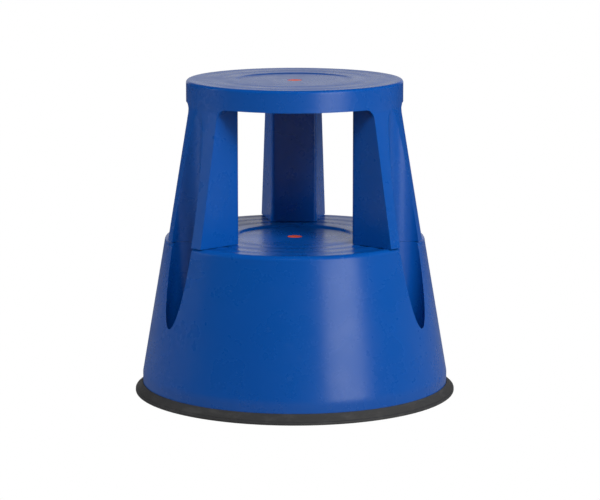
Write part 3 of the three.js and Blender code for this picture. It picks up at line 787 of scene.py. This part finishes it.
# ---------------------------------------------------------------------------
# Materials
# ---------------------------------------------------------------------------
class Look:
    """A procedural material: colour, roughness and bump from noise on Object coordinates."""

    def __init__(self, name, colour, roughness, metallic=0.0, specular=0.5):
        self.material = bpy.data.materials.new(name)
        self.material.use_nodes = True
        self.tree = self.material.node_tree
        self.shader = self.tree.nodes["Principled BSDF"]
        self.shader.inputs["Base Color"].default_value = (*colour, 1)
        self.shader.inputs["Roughness"].default_value = roughness
        self.shader.inputs["Metallic"].default_value = metallic
        self.shader.inputs["Specular IOR Level"].default_value = specular
        self.coordinates = self.tree.nodes.new("ShaderNodeTexCoord").outputs["Object"]
        self.roughness = roughness
        self.normal = None

    def link(self, a, b):
        self.tree.links.new(a, b)

    def node(self, kind, **values):
        made = self.tree.nodes.new(kind)
        for key, value in values.items():
            if hasattr(made, key):
                setattr(made, key, value)
            else:
                made.inputs[key].default_value = value
        return made

    def stretched(self, scale):
        mapping = self.node("ShaderNodeMapping")
        mapping.inputs["Scale"].default_value = scale
        self.link(self.coordinates, mapping.inputs["Vector"])
        return mapping.outputs["Vector"]

    def noise(self, scale, detail=2.0, rough=0.5, vector=None):
        made = self.node("ShaderNodeTexNoise", Scale=scale, Detail=detail, Roughness=rough)
        self.link(vector or self.coordinates, made.inputs["Vector"])
        return made.outputs["Fac"]

    def ramp(self, value, low, high, start=0.0, end=1.0):
        """The value mapped from low..high to start..end, held at the ends."""
        made = self.node("ShaderNodeMapRange")
        for socket, number in zip(("From Min", "From Max", "To Min", "To Max"), (low, high, start, end)):
            made.inputs[socket].default_value = number
        self.link(value, made.inputs["Value"])
        return made.outputs["Result"]

    def combine(self, operation, a, b):
        made = self.node("ShaderNodeMath", operation=operation)
        for socket, value in zip(made.inputs, (a, b)):
            if isinstance(value, (int, float)):
                socket.default_value = value
            else:
                self.link(value, socket)
        return made.outputs[0]

    def bump(self, height, distance, strength=1.0):
        made = self.node("ShaderNodeBump", Strength=strength, Distance=distance)
        self.link(height, made.inputs["Height"])
        if self.normal is not None:
            self.link(self.normal, made.inputs["Normal"])
        self.normal = made.outputs["Normal"]
        self.link(self.normal, self.shader.inputs["Normal"])

    def vary_roughness(self, *parts):
        total = self.roughness
        for part in parts:
            total = self.combine("ADD", total, part)
        self.link(total, self.shader.inputs["Roughness"])

    def vary_colour(self, mask, other):
        """Mixes the colour so far towards another colour where the mask is 1."""
        mix = self.node("ShaderNodeMix", data_type="RGBA")
        base = self.shader.inputs["Base Color"]
        if base.is_linked:
            self.link(base.links[0].from_socket, mix.inputs[6])
        else:
            mix.inputs[6].default_value = base.default_value
        mix.inputs[7].default_value = (*other, 1)
        self.link(mask, mix.inputs["Factor"])
        self.link(mix.outputs[2], base)


def moulded_blue():
    """Semi-gloss polypropylene: fine moulded grain, faint flow marks, light scuffs and dust."""
    look = Look("moulded_blue", (0.0012, 0.064, 0.31), 0.27)
    grain = look.noise(1400, 2, 0.6)
    flow = look.noise(9, 2, 0.5, look.stretched((1, 1, 0.35)))
    fine_scuffs = look.ramp(look.noise(60, 6, 0.75, look.stretched((1, 0.35, 1))), 0.60, 0.74)
    smudge = look.noise(22, 4, 0.6)
    look.vary_roughness(look.ramp(smudge, 0.3, 0.7, -0.03, 0.05), look.combine("MULTIPLY", fine_scuffs, 0.10))
    look.vary_colour(look.ramp(flow, 0.3, 0.7, 0, 0.35), (0.002, 0.074, 0.33))
    look.vary_colour(look.combine("MULTIPLY", fine_scuffs, 0.10), (0.06, 0.16, 0.42))
    look.bump(flow, 0.0012, 0.10)
    look.bump(grain, 0.00010, 0.22)
    look.bump(fine_scuffs, 0.00004, 0.2)
    return look.material


def orange_inlay():
    """Semi-gloss moulded inlay with slight mottling."""
    look = Look("orange_inlay", (0.70, 0.085, 0.022), 0.38)
    look.vary_roughness(look.ramp(look.noise(300, 3), 0.3, 0.7, -0.05, 0.1))
    look.vary_colour(look.ramp(look.noise(140, 3), 0.4, 0.8, 0, 0.3), (0.62, 0.06, 0.02))
    look.bump(look.noise(2600, 2), 0.00008, 0.3)
    return look.material


def base_rubber():
    """Dark grey rubber: matt pebbled skin, paler dust towards the floor and rubbed patches."""
    look = Look("base_rubber", (0.034, 0.034, 0.0345), 0.62)
    pebble = look.noise(1100, 3, 0.6)
    rubbed = look.ramp(look.noise(35, 5, 0.7, look.stretched((1, 1, 3))), 0.5, 0.72)
    look.vary_roughness(look.ramp(pebble, 0.3, 0.7, -0.06, 0.08), look.combine("MULTIPLY", rubbed, -0.08))
    look.vary_colour(look.combine("MULTIPLY", rubbed, 0.35), (0.095, 0.093, 0.09))
    look.bump(pebble, 0.0002, 0.5)
    look.bump(rubbed, 0.0002, 0.25)
    return look.material


def zinc_steel():
    """Zinc-plated steel: faint blue-grey bloom and fine brushed streaks."""
    look = Look("zinc_steel", (0.50, 0.51, 0.53), 0.34, metallic=1.0)
    streak = look.noise(260, 3, 0.6, look.stretched((1, 1, 9)))
    bloom = look.noise(90, 3)
    look.vary_roughness(look.ramp(streak, 0.3, 0.7, -0.06, 0.12), look.ramp(bloom, 0.3, 0.7, -0.03, 0.05))
    look.vary_colour(look.ramp(bloom, 0.4, 0.7, 0, 0.5), (0.42, 0.45, 0.50))
    look.bump(streak, 0.00004, 0.4)
    return look.material


def nylon():
    """Natural nylon, a little translucent."""
    look = Look("nylon", (0.62, 0.62, 0.58), 0.45)
    look.shader.inputs["Subsurface Weight"].default_value = 0.08
    look.shader.inputs["Subsurface Radius"].default_value = (0.002, 0.002, 0.0018)
    look.vary_roughness(look.ramp(look.noise(400, 3), 0.3, 0.7, -0.05, 0.08))
    look.vary_colour(look.ramp(look.noise(120, 4), 0.45, 0.75, 0, 0.4), (0.5, 0.49, 0.45))
    look.bump(look.noise(1800, 2), 0.00008, 0.3)
    return look.material


def tread_rubber():
    """Grey wheel tread with dusty patches."""
    look = Look("tread_rubber", (0.11, 0.11, 0.118), 0.6)
    look.vary_roughness(look.ramp(look.noise(500, 3), 0.3, 0.7, -0.06, 0.1))
    look.vary_colour(look.ramp(look.noise(160, 5, 0.7), 0.5, 0.72, 0, 0.5), (0.19, 0.18, 0.17))
    look.bump(look.noise(1500, 3), 0.00015, 0.4)
    return look.material


# ---------------------------------------------------------------------------
# Assembly
# ---------------------------------------------------------------------------
BLUE, ORANGE, RUBBER = moulded_blue(), orange_inlay(), base_rubber()
STEEL, NYLON, TYRE = zinc_steel(), nylon(), tread_rubber()


def add(node, grids, material, body, slot, **finish):
    """Makes a piece for one CAD node and rides it on its body; the slot argument is not used."""
    piece = make_piece("stool_" + node, grids, material, **finish)
    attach(piece, body)
    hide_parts(node)
    return piece


MOULDED_EDGE = {"bevel": 1.1 * MM, "segments": 3}
add("upper_body", upper_body() + top_ribs() + screw_bosses(), BLUE, "root", "blue_plastic", **MOULDED_EDGE)
add("lower_drum", lower_drum() + drum_ribs(), BLUE, "root", "blue_plastic", **MOULDED_EDGE)
add("base_ring", base_ring(), RUBBER, "root", "base_rubber")
add("top_badge", badge(HEIGHT - TOP_RECESS), ORANGE, "root", "orange_inlay")
add("step_badge", badge(STEP - STEP_RECESS), ORANGE, "root", "orange_inlay")

for leg, azimuth in enumerate(LEG_AZIMUTHS):
    for side, tau in enumerate((-SCREW_TAU, SCREW_TAU)):
        grids = [placed(g, azimuth, (SCREW_RHO, tau, 0)) for g in leg_screw(STEP - TREAD - GAP)]
        add(f"leg_screw_{2 * leg + side + 1}", grids, STEEL, "root", "zinc_steel", sharp=30)

CASTOR_PARTS = (
    ("bush", castor_bush, NYLON, "root", "nylon"),
    ("stem", castor_stem, STEEL, "plunger", "zinc_steel"),
    ("retaining_ring", retaining_ring, STEEL, "plunger", "zinc_steel"),
    ("spring", castor_spring, STEEL, "root", "zinc_steel"),
    ("fork", castor_fork, STEEL, "swivel", "zinc_steel"),
    ("axle", castor_axle, STEEL, "swivel", "zinc_steel"),
    ("wheel", castor_wheel, NYLON, "roller", "nylon"),
    ("tyre", castor_tyre, TYRE, "roller", "tyre_rubber"),
)
for i, azimuth in enumerate(CASTOR_AZIMUTHS, 1):
    place = (CASTOR_RHO * math.cos(math.radians(azimuth)), CASTOR_RHO * math.sin(math.radians(azimuth)), 0)
    for part, shape, material, body, slot in CASTOR_PARTS:
        grids = [placed(g, azimuth + 90) + np.array(place) for g in shape()]
        body_name = body if body == "root" else f"castor_{i}_{body}"
        piece = add(f"castor_{i}_{part}", grids, material, body_name, slot, sharp=30)
        if part == "spring":
            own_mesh(piece)

# ---------------------------------------------------------------------------
# Studio
# ---------------------------------------------------------------------------
scene = bpy.context.scene
scene.view_settings.view_transform = "Standard"

floor_mesh = bpy.data.meshes.new("floor")
floor_mesh.from_pydata([(-6, -6, 0), (6, -6, 0), (6, 6, 0), (-6, 6, 0)], [], [(0, 1, 2, 3)])
floor = bpy.data.objects.new("floor", floor_mesh)
scene.collection.objects.link(floor)
paper = bpy.data.materials.new("floor_paper")
paper.use_nodes = True
floor_mesh.materials.append(paper)


def white_to_camera(tree, other, output, kind):
    """Shows plain white to the camera and leaves the other shader for every other ray."""
    white = tree.nodes.new(kind)
    white.inputs["Color"].default_value = (1, 1, 1, 1)
    mix = tree.nodes.new("ShaderNodeMixShader")
    tree.links.new(tree.nodes.new("ShaderNodeLightPath").outputs["Is Camera Ray"], mix.inputs[0])
    tree.links.new(other, mix.inputs[1])
    tree.links.new(white.outputs[0], mix.inputs[2])
    tree.links.new(mix.outputs[0], output)


matt = paper.node_tree.nodes["Principled BSDF"]
matt.inputs["Base Color"].default_value = (0.32, 0.32, 0.32, 1)
matt.inputs["Roughness"].default_value = 0.9
surface = paper.node_tree.nodes["Material Output"].inputs["Surface"]
white_to_camera(paper.node_tree, matt.outputs[0], surface, "ShaderNodeEmission")

# the world: plain white to the camera; as light, a dim room that is bright behind the stool
world = bpy.data.worlds.new("studio")
scene.world = world
world.use_nodes = True
nodes, links = world.node_tree.nodes, world.node_tree.links
room = nodes["Background"]
room.inputs["Color"].default_value = (1, 1, 1, 1)
direction = nodes.new("ShaderNodeTexCoord").outputs["Generated"]
split = nodes.new("ShaderNodeSeparateXYZ")
links.new(direction, split.inputs[0])
behind = nodes.new("ShaderNodeMapRange")
behind.interpolation_type = "SMOOTHSTEP"
for socket, number in zip(("From Min", "From Max", "To Min", "To Max"), (0.86, 0.95, 0.03, 0.66)):
    behind.inputs[socket].default_value = number
links.new(split.outputs["Y"], behind.inputs["Value"])
links.new(behind.outputs["Result"], room.inputs["Strength"])
sky = nodes["World Output"].inputs["Surface"]
white_to_camera(world.node_tree, room.outputs[0], sky, "ShaderNodeBackground")


def soft_light(name, place, size, power, shine=True):
    """Rectangular area light turned towards the stool; without shine it makes no highlights."""
    data = bpy.data.lights.new(name, "AREA")
    data.shape = "RECTANGLE"
    data.size, data.size_y = size
    data.energy = power
    lamp = bpy.data.objects.new(name, data)
    lamp.location = place
    lamp.rotation_euler = (Vector((0, 0, 0.22)) - Vector(place)).to_track_quat("-Z", "Y").to_euler()
    lamp.visible_glossy = shine
    scene.collection.objects.link(lamp)


soft_light("key", (1.8, -2.0, 2.1), (1.5, 1.1), 66, shine=False)
soft_light("strip", (1.9, -2.4, 0.8), (1.6, 1.7), 27)
soft_light("front", (0.1, -2.2, 2.6), (1.2, 0.8), 46, shine=False)
soft_light("left", (-2.6, 0.4, 0.9), (1.2, 1.2), 40, shine=False)
soft_light("right", (2.5, 0.9, 0.9), (1.2, 1.2), 20, shine=False)

camera_data = bpy.data.cameras.new("camera")
camera_data.sensor_width = 36
camera_data.lens = 155.5
camera = bpy.data.objects.new("camera", camera_data)
orbit = math.radians(-0.8)
across, back = 0.0072, -3.481
camera_x = across * math.cos(orbit) - back * math.sin(orbit)
camera_y = across * math.sin(orbit) + back * math.cos(orbit)
camera.location = (camera_x, camera_y, 0.810)
camera.rotation_euler = (math.radians(90 - 10.01), 0, orbit)
scene.collection.objects.link(camera)
scene.camera = camera
